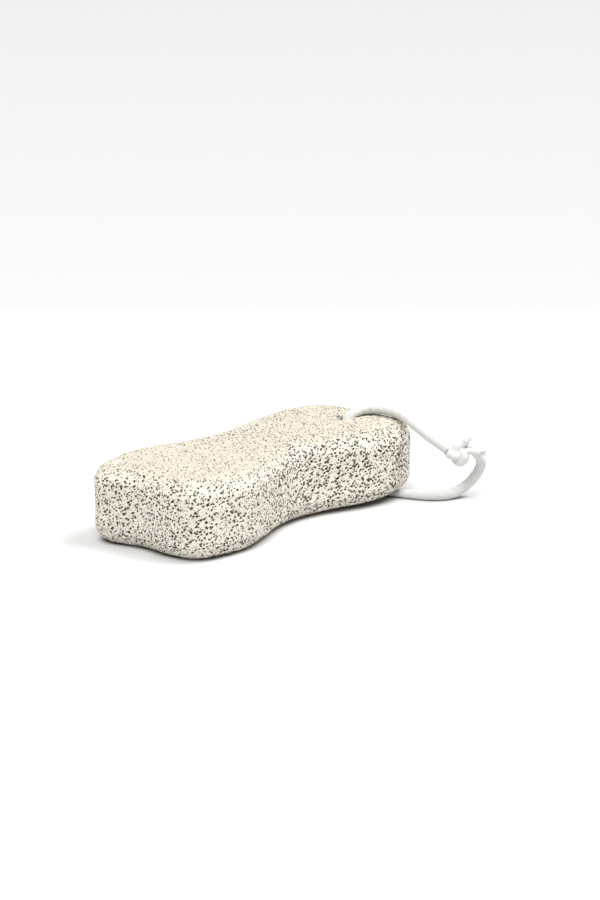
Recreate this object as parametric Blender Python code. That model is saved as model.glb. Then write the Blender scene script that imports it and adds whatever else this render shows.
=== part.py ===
"""Waisted pumice stone threaded on a knotted loop of soft cotton cord.

Metres, +Z up. The origin is on the floor under the middle of the stone. The stone's long side
runs along X, with the cord's hole near the +X end.
"""

import math
import random

import bmesh
import bpy
from mathutils import Matrix, Vector

# Stone block
NEAR_END = -0.0495        # x of the end without the hole, on the middle line
FAR_END = 0.0512          # x of the end with the hole
STONE_THICKNESS = 0.0247
TOP_RISE = 0.0010         # how much the top face climbs towards the hole's end
TOP_DROOP = 0.0029        # how much it falls again, by the square of the share of the length
DROOP_START = 0.45        # share of the length where that fall begins
EDGE_RADIUS = 0.0060      # rounding of the top and bottom edges
CORNER_POWER = 4.9        # squareness of the plan, where 2 would be an oval
OUTLINE_POINTS = 92
PLAN_MIDDLE = (0.00056, -0.00016)   # taken off the plan to bring its middle over the origin
PLAN_SAMPLES = 4000       # points of the plan before it is spaced out evenly
ROUND_STEPS = 2           # steps in a quarter of every rounding
MERGE_DISTANCE = 1e-6

# Each long side swells at two lobes and narrows at a waist: x, half-width
FRONT_SIDE = ((-0.0268, 0.0240), (0.0064, 0.0140), (0.0401, 0.0216))
BACK_SIDE = ((-0.0352, 0.0226), (-0.0061, 0.0175), (0.0306, 0.0230))

# The ends are slanted, and the near one is a little hollow in the middle
NEAR_SLANT = 0.252
FAR_SLANT = 0.206
NEAR_DENT = 0.0019
NEAR_DENT_WIDTH = 0.0075
END_FADE = 6

# The underside is flat up to here and eases off the floor beyond it, over the cord
EASE_START = 0.0075
EASE_SLOPE = 0.045

# Hole through the stone
HOLE_X = 0.0352
HOLE_Y = -0.0008
HOLE_RADIUS = 0.0029
HOLE_SIDES = 20

# Largest pores
PIT_COUNT = 288
PIT_SEED = 7
PIT_MOUTH = (0.00065, 0.00115)   # smallest and largest mouth radius
PIT_DEPTH_RATIO = 1.27           # depth over mouth radius
PIT_BOTTOM_RATIO = 0.25          # bottom radius over mouth radius
PIT_OUTSIDE = 0.00017            # how far each cutter stands out of the skin
PIT_SIDES = 5
PIT_SPACING = 0.0036
FLAT_SHARE = 0.5                 # share of the pits on the two flat faces
TOP_SHARE = 0.62                 # share of those on the upper one
EDGE_CLEAR = 0.15                # share of each rounded edge left whole next to its flat face
DOWNWARD = -0.3                  # a normal below this height faces the floor
HOLE_MARGIN = 0.0065
CORD_MARGIN = 0.0045
FOOT_MARGIN = 0.0060             # left whole around the middle of the resting face
RIM_BREAKS = 3                   # pores that break the upper mouth of the hole
RIM_BREAK_SIZE = 1.2             # over the largest mouth radius
RIM_BREAK_REACH = 1.05           # distance of each from the hole's middle, over its radius
RIM_BREAK_ANGLES = (100.0, 75.0)   # first one and the step to the next, degrees

# Cord
CORD_RADIUS = 0.00165
CORD_POINTS = 56
ROUTE_STEPS = 24          # steps between two points of the route
CORD_GAP = 0.0004         # air between the cord and the channel worn for it
PRESS = 0.30              # share of its height that the cord loses under the stone
PRESS_TOP = (0.0036, 0.0090)     # full pressing below the first height, none above the second
PRESS_REACH = (0.0170, 0.0260)   # the same, by distance from the hole

# Knot
KNOT_CENTRE = (0.0549, -0.0321, 0.0161)
KNOT_RING_RADIUS = 0.00215
KNOT_STRAND_RADIUS = 0.00150
KNOT_CORE_RADIUS = 0.00200
KNOT_RING_SEGMENTS = 16
KNOT_STRAND_SIDES = 8
KNOT_CORE_GRID = (12, 8)  # segments and rings
KNOT_RINGS = ((72.0, -42.0), (78.0, 38.0))   # tilt from upright and heading of each turn, degrees
TAIL_RADIUS = 0.00115
TAIL_SIDES = 8
TAIL_ENDS = ((0.0576, -0.0346, 0.0216), (0.0580, -0.0389, 0.0170))

# Finishes
PUMICE_COLOUR = (0.75, 0.70, 0.60)
PUMICE_ROUGHNESS = 0.95
CORD_COLOUR = (0.90, 0.90, 0.88)
CORD_ROUGHNESS = 0.90

# Middle of the cord, from the knot over the top edge, down the hole and back along the floor
CORD_ROUTE = (
    (0.05165, -0.03010, 0.01780),
    (0.04980, -0.02840, 0.01960),
    (0.04826, -0.02642, 0.02128),
    (0.04702, -0.02403, 0.02318),
    (0.04640, -0.02070, 0.02500),
    (0.04670, -0.01610, 0.02633),
    (0.04705, -0.01055, 0.02674),
    (0.04590, -0.00620, 0.02683),
    (0.04330, -0.00340, 0.02683),
    (0.03945, -0.00215, 0.02625),
    (0.03650, -0.00135, 0.02375),
    (HOLE_X, HOLE_Y, 0.01960),
    (HOLE_X, HOLE_Y, 0.01400),
    (HOLE_X, HOLE_Y, 0.00950),
    (0.03598, -0.00164, 0.00530),
    (0.03768, -0.00334, 0.00265),
    (0.04008, -0.00637, 0.00175),
    (0.04240, -0.01081, 0.00175),
    (0.04467, -0.01551, 0.00175),
    (0.04660, -0.02010, 0.00175),
    (0.04900, -0.02430, 0.00175),
    (0.05250, -0.02760, 0.00175),
    (0.05660, -0.02930, 0.00200),
    (0.06010, -0.03050, 0.00360),
    (0.06230, -0.03220, 0.00630),
    (0.06320, -0.03380, 0.00940),
    (0.06270, -0.03490, 0.01240),
    (0.06100, -0.03480, 0.01510),
    (0.05885, -0.03380, 0.01705),
)


def clear_scene():
    for thing in list(bpy.data.objects):
        bpy.data.objects.remove(thing, do_unlink=True)


def new_collection(name):
    collection = bpy.data.collections.new(name)
    bpy.context.scene.collection.children.link(collection)
    return collection


def new_material(name, colour, roughness):
    material = bpy.data.materials.new(name)
    material.use_nodes = True
    shader = material.node_tree.nodes["Principled BSDF"]
    shader.inputs["Base Color"].default_value = (*colour, 1.0)
    shader.inputs["Roughness"].default_value = roughness
    shader.inputs["Metallic"].default_value = 0.0
    return material


def fade(value, low, high):
    """0 below low, 1 above high, and a smooth step between them."""
    share = min(max((value - low) / (high - low), 0.0), 1.0)
    return share * share * (3.0 - 2.0 * share)


def half_width(x, side):
    """Half-width of one long side at x: a cosine swell from its waist up to each lobe."""
    near_lobe, waist, far_lobe = side
    lobe = near_lobe if x < waist[0] else far_lobe
    share = min(abs(x - waist[0]) / abs(lobe[0] - waist[0]), 1.0)
    return waist[1] + (lobe[1] - waist[1]) * (1.0 - math.cos(math.pi * share)) / 2.0


def plan_point(angle):
    """A point of the plan: a squared oval whose sides follow the lobes and whose ends slant."""
    along = math.copysign(abs(math.cos(angle)) ** (2.0 / CORNER_POWER), math.cos(angle))
    across = math.copysign(abs(math.sin(angle)) ** (2.0 / CORNER_POWER), math.sin(angle))
    x = (NEAR_END + FAR_END) / 2.0 + (FAR_END - NEAR_END) / 2.0 * along
    y = across * half_width(x, BACK_SIDE if across > 0.0 else FRONT_SIDE)
    near = max(-along, 0.0) ** END_FADE
    far = max(along, 0.0) ** END_FADE
    dent = NEAR_DENT * near * math.exp(-((y / NEAR_DENT_WIDTH) ** 2))
    return Vector((x - (NEAR_SLANT * near + FAR_SLANT * far) * y + dent, y, 0.0))


def evenly_spaced(points, count, closed):
    """The same line with its points at equal distances along it."""
    line = list(points) + [points[0]] if closed else list(points)
    reach = [0.0]
    for start, end in zip(line, line[1:]):
        reach.append(reach[-1] + (end - start).length)
    gaps = count if closed else count - 1
    result = []
    place = 0
    for index in range(count):
        wanted = reach[-1] * index / gaps
        while place < len(line) - 2 and reach[place + 1] < wanted:
            place += 1
        share = (wanted - reach[place]) / (reach[place + 1] - reach[place])
        result.append(line[place].lerp(line[place + 1], min(share, 1.0)))
    return result


def stone_outline():
    """The plan about the origin, anticlockwise seen from above."""
    turn = 2.0 * math.pi / PLAN_SAMPLES
    points = [plan_point(turn * (index + 0.5)) for index in range(PLAN_SAMPLES)]
    middle = Vector((*PLAN_MIDDLE, 0.0))
    return [p - middle for p in evenly_spaced(points, OUTLINE_POINTS, closed=True)]


def stone_height(x, height, low_x, high_x):
    """Height in the finished stone of a point that is at this height in a plain block."""
    share = height / STONE_THICKNESS
    ease = EASE_SLOPE * max(x - EASE_START, 0.0)
    along = (x - low_x) / (high_x - low_x)
    rise = TOP_RISE * along - TOP_DROOP * max(along - DROOP_START, 0.0) ** 2
    return height + ease * (1.0 - share) + rise * share


def mesh_from_curve(curve_object, name, collection):
    """Turn a curve object into a closed mesh object in the same place."""
    evaluated = curve_object.evaluated_get(bpy.context.evaluated_depsgraph_get())
    mesh = bpy.data.meshes.new_from_object(evaluated)
    mesh.name = name
    place = curve_object.matrix_world.copy()
    bpy.data.objects.remove(curve_object, do_unlink=True)
    work = bmesh.new()
    work.from_mesh(mesh)
    bmesh.ops.remove_doubles(work, verts=work.verts, dist=MERGE_DISTANCE)
    bmesh.ops.recalc_face_normals(work, faces=work.faces)
    work.to_mesh(mesh)
    work.free()
    result = bpy.data.objects.new(name, mesh)
    result.matrix_world = place
    collection.objects.link(result)
    return result


def make_stone(outline, collection):
    """Extrude the plan with rounded edges, then ease the underside and tip the top face."""
    curve = bpy.data.curves.new("stone_plan", "CURVE")
    curve.dimensions = "2D"
    curve.fill_mode = "BOTH"
    curve.extrude = STONE_THICKNESS / 2.0 - EDGE_RADIUS
    curve.bevel_depth = EDGE_RADIUS
    curve.bevel_resolution = ROUND_STEPS
    curve.offset = -EDGE_RADIUS
    spline = curve.splines.new("POLY")
    spline.points.add(len(outline) - 1)
    for point, place in zip(spline.points, outline):
        point.co = (place.x, place.y, 0.0, 1.0)
    spline.use_cyclic_u = True
    plan = bpy.data.objects.new("stone_plan", curve)
    collection.objects.link(plan)
    plan.location.z = STONE_THICKNESS / 2.0
    bpy.context.view_layer.update()
    stone = mesh_from_curve(plan, "pumice_stone", collection)
    stone.data.transform(stone.matrix_world)
    stone.matrix_world = Matrix.Identity(4)

    low_x = min(p.x for p in outline)
    high_x = max(p.x for p in outline)
    work = bmesh.new()
    work.from_mesh(stone.data)
    everything = list(work.verts) + list(work.edges) + list(work.faces)
    bmesh.ops.bisect_plane(
        work,
        geom=everything,
        plane_co=(EASE_START, 0.0, 0.0),
        plane_no=(1.0, 0.0, 0.0),
        dist=MERGE_DISTANCE,
    )
    for vert in work.verts:
        vert.co.z = stone_height(vert.co.x, vert.co.z, low_x, high_x)
    work.to_mesh(stone.data)
    work.free()
    return stone


def inside(outline, x, y):
    """Whether a point of the plan lies within the outline."""
    crossings = 0
    for start, end in zip(outline, outline[1:] + outline[:1]):
        if (start.y > y) != (end.y > y):
            meets = start.x + (y - start.y) * (end.x - start.x) / (end.y - start.y)
            crossings += meets > x
    return crossings % 2 == 1


def edge_distance(outline, x, y):
    return min(math.hypot(p.x - x, p.y - y) for p in outline)


def random_surface_place(outline, chance):
    """A point in the plain block's skin and its outward normal, on a flat face or round the side."""
    low_x = min(p.x for p in outline)
    high_x = max(p.x for p in outline)
    low_y = min(p.y for p in outline)
    high_y = max(p.y for p in outline)
    if chance.random() < FLAT_SHARE:
        while True:
            x = chance.uniform(low_x, high_x)
            y = chance.uniform(low_y, high_y)
            if inside(outline, x, y) and edge_distance(outline, x, y) > EDGE_RADIUS:
                break
        up = chance.random() < TOP_SHARE
        normal = Vector((0.0, 0.0, 1.0 if up else -1.0))
        return Vector((x, y, STONE_THICKNESS if up else 0.0)), normal
    index = chance.randrange(len(outline))
    ahead = outline[(index + 1) % len(outline)]
    behind = outline[index - 1]
    outward = Vector((ahead.y - behind.y, behind.x - ahead.x, 0.0)).normalized()
    straight = STONE_THICKNESS - 2.0 * EDGE_RADIUS
    quarter = EDGE_RADIUS * math.pi / 2.0
    reach = chance.uniform(EDGE_CLEAR * quarter, straight + (2.0 - EDGE_CLEAR) * quarter)
    turn = 0.0
    height = EDGE_RADIUS + reach - quarter
    if reach < quarter:
        turn = (reach / quarter - 1.0) * math.pi / 2.0
        height = EDGE_RADIUS * (1.0 + math.sin(turn))
    elif reach > quarter + straight:
        turn = (reach - quarter - straight) / quarter * math.pi / 2.0
        height = STONE_THICKNESS - EDGE_RADIUS * (1.0 - math.sin(turn))
    place = outline[index] - outward * EDGE_RADIUS * (1.0 - math.cos(turn))
    normal = outward * math.cos(turn) + Vector((0.0, 0.0, math.sin(turn)))
    return Vector((place.x, place.y, height)), normal


def pit_places(outline):
    """Spread the largest pores over the stone, clear of the hole, cord, foot and each other."""
    chance = random.Random(PIT_SEED)
    low_x = min(p.x for p in outline)
    high_x = max(p.x for p in outline)
    route = smooth_route()
    places = []
    while len(places) < PIT_COUNT:
        place, normal = random_surface_place(outline, chance)
        from_hole = math.hypot(place.x - HOLE_X, place.y - HOLE_Y)
        downward = normal.z < DOWNWARD
        on_foot = downward and math.hypot(place.x, place.y) < FOOT_MARGIN
        on_cord = downward and any((place - point).length < CORD_MARGIN for point in route)
        if from_hole < HOLE_MARGIN or on_foot or on_cord:
            continue
        if any((place - other).length < PIT_SPACING for other, _, _ in places):
            continue
        size = chance.uniform(*PIT_MOUTH)
        places.append((place, normal, size))
    for index in range(RIM_BREAKS):
        angle = math.radians(RIM_BREAK_ANGLES[0] + RIM_BREAK_ANGLES[1] * index)
        reach = HOLE_RADIUS * RIM_BREAK_REACH
        x = HOLE_X + reach * math.cos(angle)
        y = HOLE_Y + reach * math.sin(angle)
        place = Vector((x, y, STONE_THICKNESS))
        places.append((place, Vector((0.0, 0.0, 1.0)), PIT_MOUTH[1] * RIM_BREAK_SIZE))
    for place, _, _ in places:
        place.z = stone_height(place.x, place.z, low_x, high_x)
    return places


def make_pits(outline, collection):
    """One cutter of many short cones, each with its mouth just outside the skin."""
    chance = random.Random(PIT_SEED + 1)
    work = bmesh.new()
    for place, normal, size in pit_places(outline):
        depth = PIT_DEPTH_RATIO * size
        spin = Matrix.Rotation(chance.uniform(0.0, 2.0 * math.pi), 4, "Z")
        turn = normal.to_track_quat("Z", "Y").to_matrix().to_4x4()
        middle = place + normal * (PIT_OUTSIDE - depth / 2.0)
        bmesh.ops.create_cone(
            work,
            cap_ends=True,
            segments=PIT_SIDES,
            radius1=PIT_BOTTOM_RATIO * size,
            radius2=size,
            depth=depth,
            matrix=Matrix.Translation(middle) @ turn @ spin,
        )
    mesh = bpy.data.meshes.new("pit_cutter")
    work.to_mesh(mesh)
    work.free()
    cutter = bpy.data.objects.new("pit_cutter", mesh)
    collection.objects.link(cutter)
    return cutter


def smooth_route():
    """Points along the cord, evenly spaced on one smooth curve through the route."""
    route = [Vector(point) for point in CORD_ROUTE]
    ends = [route[0] * 2.0 - route[1]] + route + [route[-1] * 2.0 - route[-2]]
    fine = []
    for before, start, end, after in zip(ends, ends[1:], ends[2:], ends[3:]):
        for step in range(ROUTE_STEPS):
            t = step / ROUTE_STEPS
            fine.append(
                0.5
                * (
                    2.0 * start
                    + (end - before) * t
                    + (2.0 * before - 5.0 * start + 4.0 * end - after) * t**2
                    + (3.0 * start - before - 3.0 * end + after) * t**3
                )
            )
    fine.append(route[-1])
    return evenly_spaced(fine, CORD_POINTS, closed=False)


def pressed(place):
    """Where a point of the round cord ends up once the stone lies on it."""
    low = 1.0 - fade(place.z, *PRESS_TOP)
    near = 1.0 - fade(math.hypot(place.x - HOLE_X, place.y - HOLE_Y), *PRESS_REACH)
    return Vector((place.x, place.y, place.z * (1.0 - PRESS * low * near)))


def make_tube(name, radius, collection):
    """A round tube along the cord's route, flattened where the stone lies on it."""
    curve = bpy.data.curves.new(name, "CURVE")
    curve.dimensions = "3D"
    curve.bevel_depth = radius
    curve.bevel_resolution = ROUND_STEPS
    curve.use_fill_caps = True
    spline = curve.splines.new("POLY")
    places = smooth_route()
    spline.points.add(len(places) - 1)
    for point, place in zip(spline.points, places):
        point.co = (*place, 1.0)
    line = bpy.data.objects.new(name, curve)
    collection.objects.link(line)
    bpy.context.view_layer.update()
    tube = mesh_from_curve(line, name, collection)
    for vert in tube.data.vertices:
        vert.co = pressed(vert.co)
    return tube


def make_hole_cutter(collection):
    bpy.ops.mesh.primitive_cylinder_add(
        vertices=HOLE_SIDES,
        radius=HOLE_RADIUS,
        depth=3.0 * STONE_THICKNESS,
        location=(HOLE_X, HOLE_Y, STONE_THICKNESS / 2.0),
    )
    cutter = bpy.context.object
    cutter.name = "hole_cutter"
    move_to(cutter, collection)
    return cutter


def move_to(thing, collection):
    for other in list(thing.users_collection):
        other.objects.unlink(thing)
    collection.objects.link(thing)


def hide_cutter(cutter):
    cutter.hide_render = True
    cutter.display_type = "WIRE"


def add_boolean(target, other, operation):
    modifier = target.modifiers.new(f"{operation.lower()}_{other.name}", "BOOLEAN")
    modifier.operation = operation
    modifier.object = other
    hide_cutter(other)


def make_knot(collection, cutters):
    """Two crossing turns of cord round a filled middle, with the two cut ends standing out."""
    centre = Vector(KNOT_CENTRE)
    pieces = []
    for tilt, heading in KNOT_RINGS:
        bpy.ops.mesh.primitive_torus_add(
            major_segments=KNOT_RING_SEGMENTS,
            minor_segments=KNOT_STRAND_SIDES,
            major_radius=KNOT_RING_RADIUS,
            minor_radius=KNOT_STRAND_RADIUS,
            location=centre,
            rotation=(math.radians(tilt), 0.0, math.radians(heading)),
        )
        pieces.append(bpy.context.object)
    bpy.ops.mesh.primitive_uv_sphere_add(
        segments=KNOT_CORE_GRID[0],
        ring_count=KNOT_CORE_GRID[1],
        radius=KNOT_CORE_RADIUS,
        location=centre,
    )
    pieces.append(bpy.context.object)
    for end in TAIL_ENDS:
        along = Vector(end) - centre
        bpy.ops.mesh.primitive_cylinder_add(
            vertices=TAIL_SIDES,
            radius=TAIL_RADIUS,
            depth=along.length,
            location=centre + along / 2.0,
            rotation=along.to_track_quat("Z", "Y").to_euler(),
        )
        pieces.append(bpy.context.object)
    knot = pieces[0]
    knot.name = "cord_knot"
    knot.data.name = "cord_knot"
    move_to(knot, collection)
    for index, piece in enumerate(pieces[1:]):
        piece.name = f"knot_part_{index + 1}"
        move_to(piece, cutters)
        add_boolean(knot, piece, "UNION")
    return knot


def main():
    clear_scene()
    parts = new_collection("pumice_stone_on_cord")
    cutters = new_collection("cutters")
    stone_look = new_material("pumice", PUMICE_COLOUR, PUMICE_ROUGHNESS)
    cord_look = new_material("cotton_cord", CORD_COLOUR, CORD_ROUGHNESS)

    outline = stone_outline()
    stone = make_stone(outline, parts)
    stone.data.materials.append(stone_look)
    add_boolean(stone, make_hole_cutter(cutters), "DIFFERENCE")
    channel = make_tube("channel_cutter", CORD_RADIUS + CORD_GAP, cutters)
    add_boolean(stone, channel, "DIFFERENCE")
    add_boolean(stone, make_pits(outline, cutters), "DIFFERENCE")

    cord = make_tube("cord", CORD_RADIUS, parts)
    cord.data.materials.append(cord_look)
    cord.data.shade_smooth()

    knot = make_knot(parts, cutters)
    knot.data.materials.append(cord_look)
    knot.data.shade_smooth()


main()
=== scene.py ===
import math

import bpy
import numpy as np
from mathutils import Euler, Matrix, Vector


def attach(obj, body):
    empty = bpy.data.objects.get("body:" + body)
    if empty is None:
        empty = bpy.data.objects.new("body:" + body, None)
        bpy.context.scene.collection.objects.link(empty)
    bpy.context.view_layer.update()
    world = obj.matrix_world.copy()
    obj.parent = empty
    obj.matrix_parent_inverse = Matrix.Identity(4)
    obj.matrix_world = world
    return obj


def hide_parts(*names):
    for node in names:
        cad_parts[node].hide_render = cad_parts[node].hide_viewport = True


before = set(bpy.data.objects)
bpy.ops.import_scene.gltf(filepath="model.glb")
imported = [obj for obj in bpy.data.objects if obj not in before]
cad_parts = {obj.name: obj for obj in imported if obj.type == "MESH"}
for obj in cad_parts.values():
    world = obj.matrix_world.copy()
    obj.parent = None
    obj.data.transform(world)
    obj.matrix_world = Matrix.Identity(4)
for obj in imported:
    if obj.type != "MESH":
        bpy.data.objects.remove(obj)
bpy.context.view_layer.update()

print("frame loaded:", sorted(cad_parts))

# camera: the photograph's own view, worked out from the stone's outline
camera = {
    "aim": (0.05691, 0.04251, 0.0),  # where the middle of the picture meets the floor
    "azimuth": -43.07,
    "elevation": 17.0,
    "distance": 0.7048,
    "lens": 82.6,
    "sensorWidth": 36.0,
    "sees": (0.01, 60.0),  # nearest and farthest
}


def placeCamera(spec):
    # back = (sin a cos e, -cos a cos e, sin e), and the camera sits at aim + back * distance
    turn, tilt = math.radians(spec["azimuth"]), math.radians(spec["elevation"])
    level = math.cos(tilt)
    back = Vector((math.sin(turn) * level, -math.cos(turn) * level, math.sin(tilt)))
    lens = bpy.data.cameras.new("camera")
    lens.lens = spec["lens"]
    lens.sensor_width = spec["sensorWidth"]
    lens.clip_start, lens.clip_end = spec["sees"]
    eye = bpy.data.objects.new("camera", lens)
    bpy.context.scene.collection.objects.link(eye)
    eye.location = Vector(spec["aim"]) + back * spec["distance"]
    eye.rotation_mode = "QUATERNION"
    eye.rotation_quaternion = (-back).to_track_quat("-Z", "Y")
    bpy.context.scene.camera = eye


placeCamera(camera)


# small tools for meshes
def rowsOfUnit(vectors):
    # v / |v| for each row, with |v| at least 1e-12
    return vectors / np.maximum(np.linalg.norm(vectors, axis=-1, keepdims=True), 1e-12)


def fadeStep(value, low, high):
    # 0 below low, 1 above high, s*s*(3 - 2s) between
    s = np.clip((value - low) / (high - low), 0.0, 1.0)
    return s * s * (3.0 - 2.0 * s)


def meshPiece(name, points, quads, triangles=None, smooth=True):
    # points (n, 3), quads (m, 4) and triangles (k, 3) straight into a mesh with foreach_set
    triangles = np.zeros((0, 3), int) if triangles is None else triangles
    mesh = bpy.data.meshes.new(name)
    mesh.vertices.add(len(points))
    writePoints(mesh, points)
    corners = np.concatenate([quads.ravel(), triangles.ravel()]).astype(np.int32)
    sizes = np.concatenate([np.full(len(quads), 4), np.full(len(triangles), 3)])
    starts = np.concatenate([[0], np.cumsum(sizes)[:-1]]).astype(np.int32)
    mesh.loops.add(len(corners))
    mesh.loops.foreach_set("vertex_index", corners)
    mesh.polygons.add(len(sizes))
    mesh.polygons.foreach_set("loop_start", starts)
    mesh.update(calc_edges=True)
    mesh.validate()
    mesh.polygons.foreach_set("use_smooth", np.full(len(mesh.polygons), smooth))
    piece = bpy.data.objects.new(name, mesh)
    bpy.context.scene.collection.objects.link(piece)
    return piece


def writePoints(mesh, points):
    # every point's place at once
    mesh.vertices.foreach_set("co", np.asarray(points, np.float32).ravel())


def readRows(data, field, width):
    # one row of width numbers for each point
    flat = np.zeros(len(data) * width, np.float32)
    data.foreach_get(field, flat)
    return flat.reshape(-1, width).astype(float)


def addAttribute(piece, name, values):
    # one number for each point
    layer = piece.data.attributes.new(name, "FLOAT", "POINT")
    layer.data.foreach_set("value", np.asarray(values, np.float32).ravel())


def readAttribute(mesh, name):
    # the number kept on each point
    return readRows(mesh.attributes[name].data, "value", 1)[:, 0]


def reachAlong(line):
    # sum of the steps up to each point of the line
    return np.concatenate([[0.0], np.cumsum(np.linalg.norm(np.diff(line, axis=0), axis=1))])


def spreadEvenly(line, count, closed=False):
    # count points at equal distances along the line; on a closed one its first point comes once
    reach = reachAlong(line)
    want = np.linspace(0.0, reach[-1], count, endpoint=not closed)
    return np.stack([np.interp(want, reach, line[:, k]) for k in range(line.shape[1])], 1)


def smoothPath(route, count, between=24):
    # Catmull-Rom through the route, then count points at equal distances along it:
    # (2b + (c - a) t + (2a - 5b + 4c - d) t^2 + (3b - a - 3c + d) t^3) / 2 from b to c
    route = np.array(route, float)
    ends = np.vstack([2 * route[0] - route[1], route, 2 * route[-1] - route[-2]])
    t = np.linspace(0.0, 1.0, between, endpoint=False)[None, :, None]
    a, b, c, d = (ends[k: len(route) - 1 + k, None, :] for k in range(4))
    square, cube = (2 * a - 5 * b + 4 * c - d) * t**2, (3 * b - a - 3 * c + d) * t**3
    fine = 0.5 * (2 * b + (c - a) * t + square + cube)
    return spreadEvenly(np.vstack([fine.reshape(-1, 3), route[-1]]), count)


def anglesRound(sides):
    # 2 pi k / sides
    return np.linspace(0.0, 2 * np.pi, sides, endpoint=False)


def tubeRings(paths, radius, facing, sides, closed):
    # ring point = path + radius (side cos f + up sin f), side = facing x along, for every path
    if closed:
        along = np.roll(paths, -1, 1) - np.roll(paths, 1, 1)
    else:
        along = np.gradient(paths, axis=1)
    along = rowsOfUnit(along)
    side = rowsOfUnit(np.cross(np.broadcast_to(facing, along.shape), along))
    up = np.cross(along, side)
    f = anglesRound(sides)
    ring = side[:, :, None, :] * np.cos(f)[:, None] + up[:, :, None, :] * np.sin(f)[:, None]
    return paths[:, :, None, :] + ring * np.broadcast_to(radius, ring.shape[:3])[..., None]


def tubeFaces(count, rings, sides, closed):
    # quads between neighbouring rings of every tube; an open tube gets a pole point at each end
    size = rings * sides + (0 if closed else 2)
    first = (np.arange(count) * size)[:, None, None]
    r = np.arange(rings if closed else rings - 1)[None, :, None]
    s = np.arange(sides)[None, None, :]
    near, far = first + r * sides, first + (r + 1) % rings * sides
    quads = np.stack([near + s, near + (s + 1) % sides, far + (s + 1) % sides, far + s], -1)
    if closed:
        return quads.reshape(-1, 4), np.zeros((0, 3), int)
    s = np.arange(sides)[None, :]
    start = (np.arange(count) * size)[:, None]
    pole = start + rings * sides
    foot = np.stack([start + (s + 1) % sides, start + s, pole + 0 * s], -1)
    last = start + (rings - 1) * sides
    head = np.stack([last + s, last + (s + 1) % sides, pole + 1 + 0 * s], -1)
    return quads.reshape(-1, 4), np.concatenate([foot.reshape(-1, 3), head.reshape(-1, 3)])


def tubePiece(name, paths, radius, facing, sides, closed=False, bend=None):
    # a mesh of one or many tubes, each closed by a pole at both ends or joined round;
    # bend is a function that moves its points
    rings = tubeRings(paths, radius, facing, sides, closed)
    count, length = paths.shape[:2]
    quads, triangles = tubeFaces(count, length, sides, closed)
    body = rings.reshape(count, -1, 3)
    if not closed:
        body = np.concatenate([body, paths[:, :1], paths[:, -1:]], 1)
    points = body.reshape(-1, 3)
    return meshPiece(name, bend(points) if bend else points, quads, triangles)


def latticeNoise(points, cell, seed, table=64):
    # value noise from -1 to 1: eight corner numbers of the cell, blended with s*s*(3 - 2s)
    values = np.random.default_rng(seed).uniform(-1.0, 1.0, (table, table, table))
    q = points / cell
    base = np.floor(q).astype(int)
    s = q - base
    s = s * s * (3.0 - 2.0 * s)
    total = np.zeros(len(points))
    for corner in np.ndindex(2, 2, 2):
        i, j, k = ((base + corner) % table).T
        weight = np.prod(np.where(corner, s, 1.0 - s), axis=1)
        total += weight * values[i, j, k]
    return total


# materials: an expression on sockets adds its own Math nodes
class Wire:
    def __init__(self, net, socket):
        self.net, self.socket = net, socket

    def sums(self, operation, first, second=0.0):
        return self.net.node("ShaderNodeMath", {"operation": operation}, {0: first, 1: second})

    def __add__(self, other):
        return self.sums("ADD", self, other)

    def __sub__(self, other):
        return self.sums("SUBTRACT", self, other)

    def __rsub__(self, other):
        return self.sums("SUBTRACT", other, self)

    def __mul__(self, other):
        return self.sums("MULTIPLY", self, other)

    __radd__, __rmul__ = __add__, __mul__

    def sine(self):
        return self.sums("SINE", self)

    def root(self):
        return self.sums("SQRT", self)

    def fromSame(self, output):
        # another output of the same node
        return Wire(self.net, self.socket.node.outputs[output])

    def step(self, low, high, kind="SMOOTHSTEP"):
        # 0 at low, 1 at high, smooth between, or straight where the kind is LINEAR
        inputs = {"Value": self, "From Min": low, "From Max": high}
        return self.net.node("ShaderNodeMapRange", {"interpolation_type": kind}, inputs)


class Net:
    def __init__(self, tree):
        self.tree = tree

    def feed(self, node, inputs):
        # a Wire is linked, anything else is the socket's own value
        for key, value in inputs.items():
            if isinstance(value, Wire):
                self.tree.links.new(value.socket, node.inputs[key])
            else:
                node.inputs[key].default_value = value

    def node(self, kind, settings, inputs, output=0):
        # any node, with its settings and inputs, as the Wire of one output
        made = self.tree.nodes.new(kind)
        for key, value in settings.items():
            setattr(made, key, value)
        self.feed(made, inputs)
        return Wire(self, made.outputs[output])

    def vector(self, operation, *values, output=0):
        inputs = dict(enumerate(values))
        return self.node("ShaderNodeVectorMath", {"operation": operation}, inputs, output)


class Paint(Net):
    def __init__(self, name, constants):
        self.material = bpy.data.materials.new(name)
        self.material.use_nodes = True
        super().__init__(self.material.node_tree)
        self.shader = self.tree.nodes["Principled BSDF"]
        self.feed(self.shader, constants)
        self.place = self.node("ShaderNodeTexCoord", {}, {}, "Object")

    def noise(self, size, detail, rough):
        # noise of that size in the object's own space
        inputs = {"Vector": self.place, "Scale": 1.0 / size, "Detail": detail, "Roughness": rough}
        return self.node("ShaderNodeTexNoise", {}, inputs)

    def cells(self, size):
        # distance from the nearest of the points strewn one to a cell
        return self.node("ShaderNodeTexVoronoi", {}, {"Vector": self.place, "Scale": 1.0 / size})

    def stored(self, name):
        # the number kept on each point
        return self.node("ShaderNodeAttribute", {"attribute_name": name}, {}, "Fac")

    def blend(self, share, first, second):
        # first (1 - share) + second share; the Mix node's colours are its inputs 6 and 7
        colours = [value if isinstance(value, Wire) else (*value, 1.0) for value in (first, second)]
        inputs = {0: share, 6: colours[0], 7: colours[1]}
        return self.node("ShaderNodeMix", {"data_type": "RGBA"}, inputs, 2)

    def bump(self, height, depth):
        return self.node("ShaderNodeBump", {}, {"Height": height, "Distance": depth, "Strength": 1.0})

    def finish(self, inputs):
        self.feed(self.shader, inputs)
        return self.material


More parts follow.
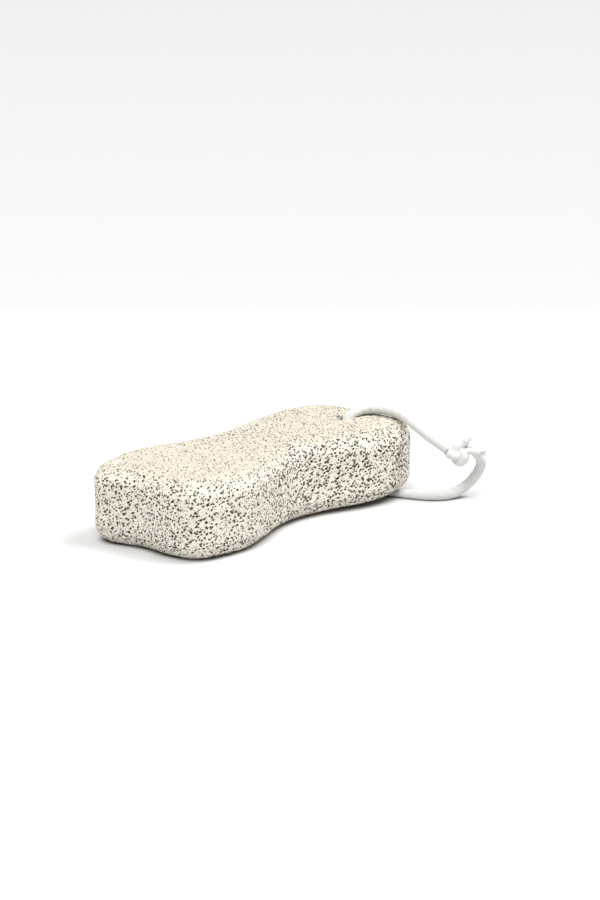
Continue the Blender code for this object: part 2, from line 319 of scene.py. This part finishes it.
def putOn(piece, material):
    # the piece's one material, in its only slot
    piece.data.materials.clear()
    piece.data.materials.append(material)


# cord: one soft cotton cord from the knot, over the stone, down its hole and back along the floor
cordLook = {
    "radius": 0.00165,
    "hole": (0.0352, -0.0008),
    "facing": (-0.65, -0.70, 0.29),  # roughly square to the plane of the loop
    "points": 720,
    "sides": 48,
    "pitch": 0.0095,  # length of one turn of the three plies
    "plyDepth": 0.055,
    "press": 0.30,  # how much flatter the cord is under the stone
    "pressTop": (0.0036, 0.0090),  # heights between which that fades out
    "pressReach": (0.0170, 0.0260),  # and distances from the hole
}
holeX, holeY = cordLook["hole"]
cordRoute = [
    (0.05165, -0.03010, 0.01780),
    (0.04980, -0.02840, 0.01960),
    (0.04826, -0.02642, 0.02128),
    (0.04702, -0.02403, 0.02318),
    (0.04640, -0.02070, 0.02500),
    (0.04670, -0.01610, 0.02633),
    (0.04705, -0.01055, 0.02674),
    (0.04590, -0.00620, 0.02683),
    (0.04330, -0.00340, 0.02683),
    (0.03945, -0.00215, 0.02625),
    (0.03650, -0.00135, 0.02375),
    (holeX, holeY, 0.01960),
    (holeX, holeY, 0.01400),
    (holeX, holeY, 0.00950),
    (0.03598, -0.00164, 0.00530),
    (0.03768, -0.00334, 0.00265),
    (0.04008, -0.00637, 0.00175),
    (0.04240, -0.01081, 0.00175),
    (0.04467, -0.01551, 0.00175),
    (0.04660, -0.02010, 0.00175),
    (0.04900, -0.02430, 0.00175),
    (0.05250, -0.02760, 0.00175),
    (0.05660, -0.02930, 0.00200),
    (0.06010, -0.03050, 0.00360),
    (0.06230, -0.03220, 0.00630),
    (0.06320, -0.03380, 0.00940),
    (0.06270, -0.03490, 0.01240),
    (0.06100, -0.03480, 0.01510),
    (0.05885, -0.03380, 0.01705),
]


def pressDown(points):
    # height * (1 - press * low * near): the cord is squashed where the stone lies on it
    away = np.hypot(points[..., 0] - holeX, points[..., 1] - holeY)
    low = 1.0 - fadeStep(points[..., 2], *cordLook["pressTop"])
    near = 1.0 - fadeStep(away, *cordLook["pressReach"])
    flat = points.copy()
    flat[..., 2] *= 1.0 - cordLook["press"] * low * near
    return flat


def plyRadius(reach, angle, radius, pitch, depth):
    # r (1 - depth (1 - |cos 1.5 (f - 2 pi s / pitch)|)): three plies laid round each other
    turn = 1.5 * (angle[None, :] - 2 * np.pi * reach[:, None] / pitch)
    return radius * (1.0 - depth * (1.0 - np.abs(np.cos(turn))))


def markPlies(piece, reach, angle, poles):
    # each point keeps its distance along the cord and its angle round it, and the poles theirs
    along, around = np.repeat(reach, len(angle)), np.tile(angle, len(reach))
    addAttribute(piece, "alongCord", np.concatenate([along, poles]))
    addAttribute(piece, "aroundCord", np.concatenate([around, np.zeros(len(poles))]))


def makeCord(look):
    # a tube of the plies' radius along the route, pressed down under the stone
    path = smoothPath(cordRoute, look["points"])
    reach, angle = reachAlong(path), anglesRound(look["sides"])
    radius = plyRadius(reach, angle, look["radius"], look["pitch"], look["plyDepth"])[None]
    piece = tubePiece("cordRope", path[None], radius, look["facing"], look["sides"], bend=pressDown)
    markPlies(piece, reach, angle, [0.0, reach[-1]])
    return piece, pressDown(path), reach[-1]


cordRope, cordPath, cordLength = makeCord(cordLook)
print(f"cord: {cordLength * 1000:.0f} mm long")

# knot: the two ends of the cord tied together, with their frayed tails
knotLook = {
    "centre": (0.0549, -0.0321, 0.0161),
    "size": 0.00098,  # the knot's line is 3 of these in radius
    "depth": 1.15,  # in the same measure
    "radius": 0.00150,
    "plyDepth": 0.07,
    "points": 420,
    "sides": 32,
    "facing": (-0.55, -0.62, 0.56),
    "spin": 25.0,
    "pitch": 0.0075,
    "tailEnds": ((0.0569, -0.0340, 0.0202), (0.0580, -0.0389, 0.0170)),
    "tailRadius": 0.00105,
    "tailPoints": 40,
    "tailSides": 20,
    "tailBend": 0.0005,
    "tailSwell": 0.22,  # the end opens out by this share
    "swellStart": 0.6,
    "yarns": 16,  # out of each tail
    "yarnLength": 0.0030,
    "yarnShortest": 0.45,
    "yarnRadius": 0.00016,
    "yarnTaper": 0.55,
    "yarnPoints": 14,
    "yarnSides": 6,
    "yarnFacing": (0.31, 0.42, 0.85),
    "yarnScatter": 0.00042,
    "yarnRoot": 0.0006,  # how far inside the tail each starts
    "yarnOpening": 0.55,
    "yarnCurl": 1.7,
    "seed": 5,
}


def frameFacing(normal, spin):
    # three directions: right, up and out, turned by spin about out
    out = rowsOfUnit(np.array(normal, float))
    right = rowsOfUnit(np.cross((0.0, 0.0, 1.0), out))
    up = np.cross(out, right)
    cosine, sine = math.cos(math.radians(spin)), math.sin(math.radians(spin))
    return np.array([right * cosine + up * sine, up * cosine - right * sine, out])


def makeKnot(look):
    # overhand knot: (sin t + 2 sin 2t, cos t - 2 cos 2t, -depth sin 3t) times size
    t = anglesRound(look["points"])
    across, over = np.sin(t) + 2 * np.sin(2 * t), np.cos(t) - 2 * np.cos(2 * t)
    line = np.stack([across, over, -look["depth"] * np.sin(3 * t)], 1)
    axes = frameFacing(look["facing"], look["spin"])
    path = np.array(look["centre"]) + look["size"] * line @ axes
    reach, angle = reachAlong(np.vstack([path, path[:1]])), anglesRound(look["sides"])
    pitch = reach[-1] / round(reach[-1] / look["pitch"])  # whole turns, so the plies meet
    radius = plyRadius(reach[:-1], angle, look["radius"], pitch, look["plyDepth"])
    piece = tubePiece("knotTurns", path[None], radius[None], axes[2], look["sides"], closed=True)
    markPlies(piece, reach[:-1], angle, [])
    return piece


def makeTails(look):
    # tail: centre + (end - centre) s + bend sin(pi s), and out of each end a brush of thin yarns:
    # start + length (heading t + opening * spread * t^curl)
    rng = np.random.default_rng(look["seed"])
    centre, ends = np.array(look["centre"]), np.array(look["tailEnds"])
    s = np.linspace(0.0, 1.0, look["tailPoints"])[None, :, None]
    bend = np.array([0.0, 0.0, look["tailBend"]])
    paths = centre + (ends - centre)[:, None] * s + bend * np.sin(np.pi * s)
    radius = look["tailRadius"] * (1.0 + look["tailSwell"] * fadeStep(s, look["swellStart"], 1.0))
    stubs = tubePiece("knotTails", paths, radius, look["facing"], look["tailSides"])
    which = np.repeat([0, 1], look["yarns"])
    count = len(which)
    heading = rowsOfUnit(ends - centre)[which]
    start = ends[which] + rng.normal(0.0, look["yarnScatter"], (count, 3)) - heading * look["yarnRoot"]
    spread = rowsOfUnit(rng.normal(0.0, 1.0, (count, 3)))
    length = look["yarnLength"] * rng.uniform(look["yarnShortest"], 1.0, (count, 1, 1))
    t = np.linspace(0.0, 1.0, look["yarnPoints"])[None, :, None]
    opening = look["yarnOpening"] * spread[:, None] * t ** look["yarnCurl"]
    yarn = start[:, None] + length * (heading[:, None] * t + opening)
    thin = look["yarnRadius"] * (1.0 - look["yarnTaper"] * t)
    return stubs, tubePiece("frayedYarns", yarn, thin, look["yarnFacing"], look["yarnSides"])


fuzz = {
    "hairs": 1500,
    "length": (0.0005, 0.0017),
    "thickness": 0.000022,
    "taper": 0.6,
    "points": 5,
    "sides": 3,
    "facing": (0.30, 0.42, 0.86),
    "skip": 2,  # points of the path left bare at each end
    "root": 0.8,  # where a hair starts, in radii of the cord
    "lean": 0.9,
    "bend": 0.35,
    "lowest": 0.0002,
    "seed": 8,
}


def makeFuzz(path, look):
    # root + length ((out + lean along) s + bend s^2), from the cord's skin and never below the floor
    rng = np.random.default_rng(look["seed"])
    count = look["hairs"]
    at = rng.integers(look["skip"], len(path) - look["skip"], count)
    along = rowsOfUnit(path[at + 1] - path[at - 1])
    out = rowsOfUnit(np.cross(along, rng.normal(size=(count, 3))))
    out[:, 2] = np.abs(out[:, 2])
    bend = rng.normal(0.0, look["bend"], (count, 3))
    length = rng.uniform(*look["length"], (count, 1, 1))
    s = np.linspace(0.0, 1.0, look["points"])[None, :, None]
    root = path[at] + out * cordLook["radius"] * look["root"]
    sweep = along * (look["lean"] * rng.uniform(-1.0, 1.0, (count, 1)))
    hairs = root[:, None] + length * ((out + sweep)[:, None] * s + bend[:, None] * s**2)
    hairs[..., 2] = np.maximum(hairs[..., 2], look["lowest"])
    thin = look["thickness"] * (1.0 - look["taper"] * s)
    return tubePiece("cordFuzz", hairs, thin, look["facing"], look["sides"])


knotTurns = makeKnot(knotLook)
knotTails, frayedYarns = makeTails(knotLook)
cordFuzz = makeFuzz(cordPath, fuzz)
print("knot and tails made")

for piece in (cordRope, knotTurns, knotTails, frayedYarns, cordFuzz):
    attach(piece, "root")
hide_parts("cord")
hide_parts("cord_knot")

# stone: a closed skin on a grid, with a bubble field opened wherever it meets the skin
stone = {
    "nearEnd": -0.0495,
    "farEnd": 0.0512,
    "thickness": 0.0247,
    "rise": 0.0010,  # how far the top face climbs from end to end
    "droop": 0.0029,  # and how fast it falls again
    "droopStart": 0.45,  # beyond this share of the length
    "planMiddle": (0.00056, -0.00016),
    "edge": 0.0060,  # radius of the rounded edges
    "corner": 4.9,  # how square the plan is
    "front": ((-0.0268, 0.0240), (0.0064, 0.0140), (0.0401, 0.0216)),  # lobe, waist and lobe
    "back": ((-0.0352, 0.0226), (-0.0061, 0.0175), (0.0306, 0.0230)),
    "nearSlant": 0.252,  # slopes of the two ends in plan
    "farSlant": 0.206,
    "dent": 0.0019,  # hollow in the near end
    "dentWidth": 0.0075,
    "endFade": 6,  # the higher, the nearer slant and dent keep to the ends
    "easeStart": 0.0075,  # from here on the underside rises off the floor
    "easeSlope": 0.045,
    "planPoints": 6000,
    "columns": 600,
    "topRows": 47,
    "edgeRows": 21,
    "wallRows": 29,
    "baseRows": 30,
    "spine": 0.84,  # how far the middle line of each flat face reaches towards the ends
    "holeRadius": 0.0029,
    "drillFoot": -0.02,
    "drillStep": 0.004,
    "drillRings": 20,
    "drillSides": 28,
    "cordGap": 0.0004,
    "channelRings": 90,
    "channelSides": 16,
}
pores = {
    "cell": (0.00106, 0.00080, 0.00080),  # one bubble's room, longest along its own first axis
    "turn": (0.0, -35.0, -28.0),  # degrees, how that axis lies in the stone
    "randomness": 0.80,
    "radius": (0.25, 0.475),  # in rooms
    "topShare": 0.78,  # bubbles of the upper face, beside those of the sides
    "topFade": (0.3, 0.95),  # how far up a face looks where it stops being a side, and is a top
    "sideSize": (0.97, 1.10),  # near the front lobe, and from the waist on
    "sideGrowth": (-0.026, -0.004),
    "wobble": 0.11,  # in rooms
    "wobbleScale": 1.7,
    "deepest": 0.00105,
    "pull": 0.00018,  # points this near a rim are drawn onto it
    "lump": 0.00014,
    "lumpCell": 0.0065,
    "lumpFiner": 2.7,  # the second noise is this much finer
    "lumpShare": 0.5,  # and this strong beside the first
    "lumpSeeds": (3, 4),
    "lumpBase": -0.9,  # faces that look down more than this stay flat
    "ownLength": 0.9,  # an outward direction at least this long is one of the block's own
}


def sideWidth(x, side):
    # waist + (lobe - waist)(1 - cos pi u) / 2, with u from the waist to the lobe on that side of it
    (nearX, nearY), (waistX, waistY), (farX, farY) = side
    before = x < waistX
    u = np.where(before, (waistX - x) / (waistX - nearX), (x - waistX) / (farX - waistX))
    lobe = np.where(before, nearY, farY) - waistY
    return waistY + lobe * (1.0 - np.cos(np.pi * np.clip(u, 0.0, 1.0))) / 2.0


def stonePlan(spec):
    # squared oval |x|^n + |y|^n = 1 carried onto the lobes and waists, at equal distances round
    angle = 2 * np.pi * (np.arange(spec["planPoints"]) + 0.5) / spec["planPoints"]
    along = np.sign(np.cos(angle)) * np.abs(np.cos(angle)) ** (2 / spec["corner"])
    across = np.sign(np.sin(angle)) * np.abs(np.sin(angle)) ** (2 / spec["corner"])
    x = (spec["nearEnd"] + spec["farEnd"]) / 2 + (spec["farEnd"] - spec["nearEnd"]) / 2 * along
    y = across * np.where(across > 0, sideWidth(x, spec["back"]), sideWidth(x, spec["front"]))
    near = np.maximum(-along, 0.0) ** spec["endFade"]
    far = np.maximum(along, 0.0) ** spec["endFade"]
    dent = spec["dent"] * near * np.exp(-((y / spec["dentWidth"]) ** 2))
    x = x - (spec["nearSlant"] * near + spec["farSlant"] * far) * y + dent
    line = np.stack([x, y], 1) - spec["planMiddle"]
    even = spreadEvenly(np.vstack([line, line[:1]]), spec["columns"], closed=True)
    ahead = np.roll(even, -2, 0) - np.roll(even, 2, 0)
    return even, rowsOfUnit(np.stack([ahead[:, 1], -ahead[:, 0]], 1))


def stoneBlock(spec):
    # rows from the middle of the base, out and up round the edge and wall, to the middle of the top
    plan, outward = stonePlan(spec)
    count, edge, tall = spec["columns"], spec["edge"], spec["thickness"]
    mirror = (-np.arange(count)) % count
    spine = (plan + plan[mirror]) / 2 * (spec["spine"], 1.0)  # columns k and -k share a point of it
    quarter = np.linspace(0.0, np.pi / 2, spec["edgeRows"])
    wall = np.linspace(0.0, 1.0, spec["wallRows"] + 2)[1:-1]
    inset = np.concatenate([edge * (1 - np.sin(quarter)), 0 * wall, edge * (1 - np.cos(quarter))])
    low, high = edge * (1 - np.cos(quarter)), tall - edge * (1 - np.sin(quarter))
    height = np.concatenate([low, edge + (tall - 2 * edge) * wall, high])
    lean = np.concatenate([quarter - np.pi / 2, 0 * wall, quarter])
    around = np.concatenate([
        plan[None] - outward[None] * inset[:, None, None],
        np.broadcast_to(height[:, None, None], (len(height), count, 1)),
    ], -1)
    leaning = np.concatenate([
        outward[None] * np.cos(lean)[:, None, None],
        np.broadcast_to(np.sin(lean)[:, None, None], (len(lean), count, 1)),
    ], -1)

    def flatRows(rim, level, rows, facing):
        # rim + (spine - rim) share: from the rim of a flat face in to its middle line
        share = (np.arange(rows) + 1)[:, None, None] / rows
        ground = rim[None] + (spine - rim)[None] * share
        flat = np.concatenate([ground, np.full((rows, count, 1), level)], -1)
        return flat, np.broadcast_to((0.0, 0.0, facing), (rows, count, 3))

    base, baseNormal = flatRows(around[0, :, :2], 0.0, spec["baseRows"], -1.0)
    top, topNormal = flatRows(around[-1, :, :2], tall, spec["topRows"], 1.0)
    points = np.concatenate([base[::-1], around, top])
    normals = np.concatenate([baseNormal[::-1], leaning, topNormal])
    rows = len(points)
    index = np.arange(rows * count).reshape(rows, count)
    folded = np.minimum(np.arange(count), mirror)
    index[0], index[-1] = index[0][folded], index[-1][folded]
    here, there = index[:-1], index[1:]
    quads = np.stack([here, np.roll(here, -1, 1), np.roll(there, -1, 1), there], -1).reshape(-1, 4)
    used, again = np.unique(quads, return_inverse=True)
    points, normals = points.reshape(-1, 3)[used], normals.reshape(-1, 3)[used]
    return points, normals, again.reshape(-1, 4)


def settleHeight(points, spec):
    # z + ease (1 - z/T) + rise z/T: underside eased beyond easeStart, top face climbing, then falling
    low, high = points[:, 0].min(), points[:, 0].max()
    share = points[:, 2] / spec["thickness"]
    ease = spec["easeSlope"] * np.maximum(points[:, 0] - spec["easeStart"], 0.0)
    along = (points[:, 0] - low) / (high - low)
    rise = spec["rise"] * along - spec["droop"] * np.maximum(along - spec["droopStart"], 0.0) ** 2
    moved = points.copy()
    moved[:, 2] += ease * (1.0 - share) + rise * share
    return moved


def roughen(points, normals, spec):
    # p - n lump (1 + noise): two noises, added and brought back to the range from -1 to 1
    coarse, fine = spec["lumpSeeds"]
    noise = latticeNoise(points, spec["lumpCell"], coarse)
    noise = noise + spec["lumpShare"] * latticeNoise(points, spec["lumpCell"] / spec["lumpFiner"], fine)
    sunk = spec["lump"] * (1.0 + noise / (1.0 + spec["lumpShare"]))
    return points - normals * sunk[:, None] * (normals[:, 2:] > spec["lumpBase"])


def poreTurn(spec):
    # degrees into radians
    return [math.radians(angle) for angle in spec["turn"]]


def bubbleField(net, room, spec):
    # room + wobble * noise, and the Voronoi bubbles there: skin and finish both call this one
    inputs = {"Vector": room, "Scale": spec["wobbleScale"], "Detail": 0.0}
    noise = net.node("ShaderNodeTexNoise", {}, inputs, "Color")
    shaken = net.vector("MULTIPLY_ADD", noise, [spec["wobble"]] * 3, room)
    inputs = {"Vector": shaken, "Scale": 1.0, "Randomness": spec["randomness"]}
    return shaken, net.node("ShaderNodeTexVoronoi", {}, inputs)


def bubblesAt(places, spec):
    # the nodes themselves run on the points:
    # way from the nearest bubble's middle, and the random colour of that bubble
    group = bpy.data.node_groups.new("bubbles", "GeometryNodeTree")
    for end in ("INPUT", "OUTPUT"):
        group.interface.new_socket("Geometry", in_out=end, socket_type="NodeSocketGeometry")
    net = Net(group)
    geometry = net.node("NodeGroupInput", {}, {})
    shaken, cells = bubbleField(net, net.node("GeometryNodeInputPosition", {}, {}), spec)
    way = net.vector("SUBTRACT", shaken, cells.fromSame("Position"))
    found = {"way": way, "tone": cells.fromSame("Color")}
    for name, value in found.items():
        inputs = {"Geometry": geometry, "Name": name, "Value": value}
        geometry = net.node("GeometryNodeStoreNamedAttribute", {"data_type": "FLOAT_VECTOR"}, inputs)
    net.feed(group.nodes.new("NodeGroupOutput"), {0: geometry})
    cloud = meshPiece("cloud", places, np.array([[0, 1, 2, 3]]))
    cloud.modifiers.new("bubbles", "NODES").node_group = group
    reader = cloud.evaluated_get(bpy.context.evaluated_depsgraph_get()).data
    values = [readRows(reader.attributes[name].data, "vector", 3) for name in found]
    bpy.data.objects.remove(cloud, do_unlink=True)
    bpy.data.node_groups.remove(group)
    return values


def poreCut(points, normals, spec):
    # what the bubbles are made smaller by: 1 - side (1 - (1 - topShare) up),
    # where side grows along the stone from one of the sideSize to the other
    up = fadeStep(normals[:, 2], *spec["topFade"])
    near, far = spec["sideSize"]
    side = near + (far - near) * fadeStep(points[:, 0], *spec["sideGrowth"])
    return 1.0 - side * (1.0 - (1.0 - spec["topShare"]) * up)


def openPores(points, normals, cut, spec):
    # a bubble of radius r opens a point p of the skin where |way| < r, and p sinks along its normal
    # by t, the far root of |way - t n| = r; a point just outside a rim is drawn onto it
    axes = np.array(Euler(poreTurn(spec)).to_matrix()).T  # the room's own axes, as rows
    room = np.array(spec["cell"])
    way, tone = bubblesAt(points @ axes.T / room, spec)
    n = normals @ axes.T / room
    low, high = spec["radius"]
    r = (low + (high - low) * tone[:, 0]) * (1.0 - cut)
    away = np.linalg.norm(way, axis=1)
    lean, steep = (way * n).sum(1), (n * n).sum(1)
    root = np.sqrt(np.maximum(lean**2 - steep * (away**2 - r**2), 0.0))
    sunk = np.where(away < r, (lean + root) / steep, 0.0)
    gap = (away - r) * room.min()
    inward = (-way * room) @ axes
    flat = inward - normals * (inward * normals).sum(1)[:, None]
    drawn = (gap > 0.0) & (gap < spec["pull"])
    moved = points + rowsOfUnit(flat) * np.where(drawn, gap, 0.0)[:, None]
    return moved - normals * np.minimum(sunk, spec["deepest"])[:, None]


def cutAway(skin, spec):
    # the block less a straight drill, less the cord's own path with a small gap round it
    heights = spec["drillFoot"] + spec["drillStep"] * np.arange(spec["drillRings"])
    straight = np.stack([np.full(len(heights), holeX), np.full(len(heights), holeY), heights], 1)
    drill = tubePiece("drill", straight[None], spec["holeRadius"], (1.0, 0.0, 0.0), spec["drillSides"])
    path, radius = smoothPath(cordRoute, spec["channelRings"]), cordLook["radius"] + spec["cordGap"]
    worn = tubePiece("wornChannel", path[None], radius, cordLook["facing"], spec["channelSides"])
    writePoints(worn.data, pressDown(readRows(worn.data.vertices, "co", 3)))
    for cutter in (drill, worn):
        cut = skin.modifiers.new(cutter.name, "BOOLEAN")
        cut.object, cut.operation, cut.solver = cutter, "DIFFERENCE", "EXACT"
    bpy.context.view_layer.update()
    result = skin.evaluated_get(bpy.context.evaluated_depsgraph_get())
    finished = bpy.data.meshes.new_from_object(result)
    skin.modifiers.clear()
    skin.data = finished
    for cutter in (drill, worn):
        bpy.data.objects.remove(cutter, do_unlink=True)


def makeStone(spec, holes):
    # block, settled and roughened, then cut for the cord, then its pores opened
    points, normals, quads = stoneBlock(spec)
    settled = roughen(settleHeight(points, spec), normals, holes)
    skin = meshPiece("stoneSkin", settled, quads, smooth=False)
    facing = ("outX", "outY", "faceUp")
    for axis, name in enumerate(facing):
        addAttribute(skin, name, normals[:, axis])
    addAttribute(skin, "poreCut", poreCut(settled, normals, holes))
    cutAway(skin, spec)
    # the block's own points still know their outward direction; points of the cuts don't, and stay
    places = readRows(skin.data.vertices, "co", 3)
    outward = np.stack([readAttribute(skin.data, name) for name in facing], 1)
    own = np.linalg.norm(outward, axis=1) > holes["ownLength"]
    cut = readAttribute(skin.data, "poreCut")
    places[own] = openPores(places[own], rowsOfUnit(outward[own]), cut[own], holes)
    writePoints(skin.data, places)
    skin.data.update()
    return skin


stoneSkin = makeStone(stone, pores)
print("stone:", len(stoneSkin.data.polygons), "faces")
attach(stoneSkin, "root")
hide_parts("pumice_stone")


# finishes
pumiceLook = {
    "constants": {"Roughness": 0.95, "Specular IOR Level": 0.12},
    # body and pale are the sides' colours, painted paler than the top face's as painted light, set
    # against the stronger light the top gets from above
    "body": (0.82, 0.77, 0.675),
    "pale": (0.97, 0.93, 0.85),
    # painted shade: the top face's pale tone, darker than the sides' to even out the stronger light
    # from above
    "shadedTopPale": (0.80, 0.76, 0.685),
    "dusk": (0.46, 0.41, 0.325),
    # painted shade: the top face's body colour, darker than the sides'; random patches on the sides use
    # it too
    "shadedTopBody": (0.531, 0.486, 0.406),
    "ochre": (0.42, 0.27, 0.13),
    # tiny: painted shade in tiny pits strewn over the skin
    "tiny": (0.27, 0.212, 0.135),
    # painted shade in the pore mouths: darkest in some bubbles, dark brown in the others
    "poreShade": (0.038, 0.026, 0.012),
    "shallowPoreShade": (0.130, 0.092, 0.050),
    # size, detail and roughness of each noise
    "grain": (0.00042, 2.0, 0.6),
    "patches": (0.007, 3.0, 0.55),
    "ochreAreas": (0.005, 2.0, 0.55),
    "ochreCell": 0.0019,
    "tinyCell": 0.00066,
    "steps": {  # where each tone starts, and where it is full
        "patches": (0.35, 0.65),
        "pale": (0.50, 0.72),
        "dusk": (0.48, 0.30),
        "ochre": (0.20, 0.12),
        "ochreAreas": (0.45, 0.60),
        "tiny": (0.33, 0.21),
        "mouth": (-0.045, 0.045),
        # rim: a band just outside each mouth, painted paler as a painted highlight on the pores' ridges
        "rim": (-0.20, -0.02),
        "deeperShade": (0.05, 0.50),
    },
    "shares": {
        "patches": 0.25,
        "pale": 0.85,
        "dusk": 0.8,
        "ochre": 0.35,
        "ochreTop": 0.4,  # more of it on the top face
        "tiny": 0.62,
        "rim": 0.65,
        "mouth": 0.94,
    },
    "relief": {"grain": 0.5, "tiny": 0.8, "mouth": 1.6, "depth": 0.00020},
}


def pumicePaint(look, holes):
    # tones laid over each other: patches, painted shade on the top face, grain, ochre, painted shade in
    # tiny pits, painted highlights on the rims, and painted shade in the mouths, which are where a
    # bubble's radius less the distance from its middle is above 0
    paint = Paint("pumiceSkin", look["constants"])
    step, share, relief = look["steps"], look["shares"], look["relief"]
    up = paint.stored("faceUp").step(*holes["topFade"])
    inputs = {"Vector": paint.place, "Rotation": poreTurn(holes), "Scale": holes["cell"]}
    room = paint.node("ShaderNodeMapping", {"vector_type": "TEXTURE"}, inputs)
    away = bubbleField(paint, room, holes)[1]
    size = paint.node("ShaderNodeSeparateColor", {}, {"Color": away.fromSame("Color")})
    low, high = holes["radius"]
    radius = (size * (high - low) + low) * (1.0 - paint.stored("poreCut"))
    within = radius - away
    mouth = within.step(*step["mouth"])
    rim = within.step(*step["rim"]) - mouth
    grain, patches = paint.noise(*look["grain"]), paint.noise(*look["patches"])
    patches = patches.step(*step["patches"]) * share["patches"]
    body = paint.blend(patches, look["body"], look["shadedTopBody"])
    # painted shade on the top face: where the face looks up it takes the darker top colours
    body = paint.blend(up, body, look["shadedTopBody"])
    pale = paint.blend(up, look["pale"], look["shadedTopPale"])
    body = paint.blend(grain.step(*step["pale"]) * share["pale"], body, pale)
    body = paint.blend(grain.step(*step["dusk"]) * share["dusk"], body, look["dusk"])
    areas = paint.noise(*look["ochreAreas"]).step(*step["ochreAreas"])
    ochre = paint.cells(look["ochreCell"]).step(*step["ochre"]) * areas
    body = paint.blend(ochre * (share["ochre"] + up * share["ochreTop"]), body, look["ochre"])
    # painted shade: the tiny pits strewn by the Voronoi cells are painted dark
    tiny = paint.cells(look["tinyCell"]).step(*step["tiny"])
    body = paint.blend(tiny * share["tiny"], body, look["tiny"])
    # painted highlight on the ridge round each pore's mouth
    body = paint.blend(rim * share["rim"], body, pale)
    # painted shade in the mouths, darker in the bubbles whose random green value is high
    deeperShade = size.fromSame("Green").step(*step["deeperShade"])
    paintedPoreShade = paint.blend(deeperShade, look["shallowPoreShade"], look["poreShade"])
    body = paint.blend(mouth * share["mouth"], body, paintedPoreShade)
    height = grain * relief["grain"] - tiny * relief["tiny"] - mouth * relief["mouth"]
    return paint.finish({"Base Color": body, "Normal": paint.bump(height, relief["depth"])})


cottonLook = {
    "constants": {"Roughness": 0.92, "Sheen Weight": 0.30, "Sheen Roughness": 0.6},
    # the darker tone, used where the relief is low: random fibre tone, and painted shade in the grooves
    # between the yarns
    "hollow": (0.62, 0.62, 0.60),
    "crown": (0.69, 0.69, 0.675),
    "crownStep": (0.25, 0.85),
    "fibre": (0.00050, 4.0, 0.7),  # size, detail and roughness of the noise
    "fibreShare": 0.9,
    "yarnsRound": 9.0,
    "yarnStep": 0.0016,
    "yarnShare": 0.25,
    "relief": 0.00010,
}


def cottonPaint(name, look, twist):
    # colour and relief follow the fibre noise, and with twist also faint yarns that run round
    # the ply: (1 + sin(yarnsRound f - 2 pi s / yarnStep)) / 2
    paint = Paint(name, look["constants"])
    height = paint.noise(*look["fibre"])
    if twist:
        turns = paint.stored("alongCord") * (2 * math.pi / look["yarnStep"])
        line = paint.stored("aroundCord") * look["yarnsRound"] - turns
        yarn = line.sine() * 0.5 + 0.5
        height = yarn * look["yarnShare"] + height * look["fibreShare"]
    # darker where the relief is low: random fibre tone, and on the twisted cord painted shade in the
    # grooves between the yarns
    body = paint.blend(height.step(*look["crownStep"]), look["hollow"], look["crown"])
    return paint.finish({"Base Color": body, "Normal": paint.bump(height, look["relief"])})


putOn(stoneSkin, pumicePaint(pumiceLook, pores))
twisted = cottonPaint("twistedCotton", cottonLook, True)
loose = cottonPaint("looseCotton", cottonLook, False)
for piece in (cordRope, knotTurns):
    putOn(piece, twisted)
for piece in (knotTails, frayedYarns, cordFuzz):
    putOn(piece, loose)
print("finishes on")

# floor and soft light
studio = {
    "floorSize": 14.0,
    "floorConstants": {"Roughness": 0.6, "Specular IOR Level": 0.1},
    # painted shade: the floor's colour darkens behind the stone and further off, standing in for light
    # that falls off with distance; round the stone it is plain
    "floorNear": 0.65,  # the floor's colour round the stone
    "floorBackShade": 0.538,  # just behind it
    "floorFarShade": 0.494,  # at the top of the picture
    "floorBlue": 0.996,  # beside its red and green
    "viewAcross": (0.683, 0.731, 0.0),  # level direction from the camera to the stone
    "backShadeStart": (0.20, 0.30),  # metres behind the origin
    "farShadeStart": (0.26, 1.9),
    "roomColour": (1.0, 1.0, 1.0, 1.0),
    "roomLight": 0.05,
    # soft suns: power, spread in degrees and where each comes from
    "suns": (
        (1.36, 40.0, (0.00, 0.12, 1.0)),
        (2.82, 34.0, (-0.52, -0.36, 1.0)),
        (2.52, 30.0, (0.50, -0.40, 1.0)),
    ),
}


def floorWithPaintedFalloff(spec):
    # near + (back - near) step + (far - back) sqrt(s), with s from 0 to 1 between the two distances:
    # painted shade, darker the farther back the floor lies, standing in for light that falls off with
    # distance
    paint = Paint("paleFloorWithPaintedFalloff", spec["floorConstants"])
    near, back, far = spec["floorNear"], spec["floorBackShade"], spec["floorFarShade"]
    away = paint.vector("DOT_PRODUCT", paint.place, spec["viewAcross"], output="Value")
    tone = away.step(*spec["backShadeStart"]) * (back - near) + near
    tone = tone + away.step(*spec["farShadeStart"], "LINEAR").root() * (far - back)
    channels = {"Red": tone, "Green": tone, "Blue": tone * spec["floorBlue"]}
    return paint.finish({"Base Color": paint.node("ShaderNodeCombineColor", {}, channels)})


def makeStudio(spec):
    # a level floor, even light from the room, and each sun turned to shine from its source
    half = spec["floorSize"] / 2
    corners = np.array([[-half, -half, 0], [half, -half, 0], [half, half, 0], [-half, half, 0]], float)
    floor = meshPiece("floor", corners, np.array([[0, 1, 2, 3]]), smooth=False)
    floor.data.materials.append(floorWithPaintedFalloff(spec))
    world = bpy.data.worlds.new("softRoom")
    bpy.context.scene.world = world
    world.use_nodes = True
    background = world.node_tree.nodes["Background"]
    background.inputs["Color"].default_value = spec["roomColour"]
    background.inputs["Strength"].default_value = spec["roomLight"]
    for power, spread, source in spec["suns"]:
        lamp = bpy.data.lights.new("softSun", "SUN")
        lamp.energy = power
        lamp.angle = math.radians(spread)
        light = bpy.data.objects.new("softSun", lamp)
        bpy.context.scene.collection.objects.link(light)
        light.rotation_mode = "QUATERNION"
        light.rotation_quaternion = (-Vector(source)).to_track_quat("-Z", "Y")
    bpy.context.scene.view_settings.view_transform = "Standard"
    bpy.context.scene.view_settings.look = "None"


makeStudio(studio)
print("studio set")
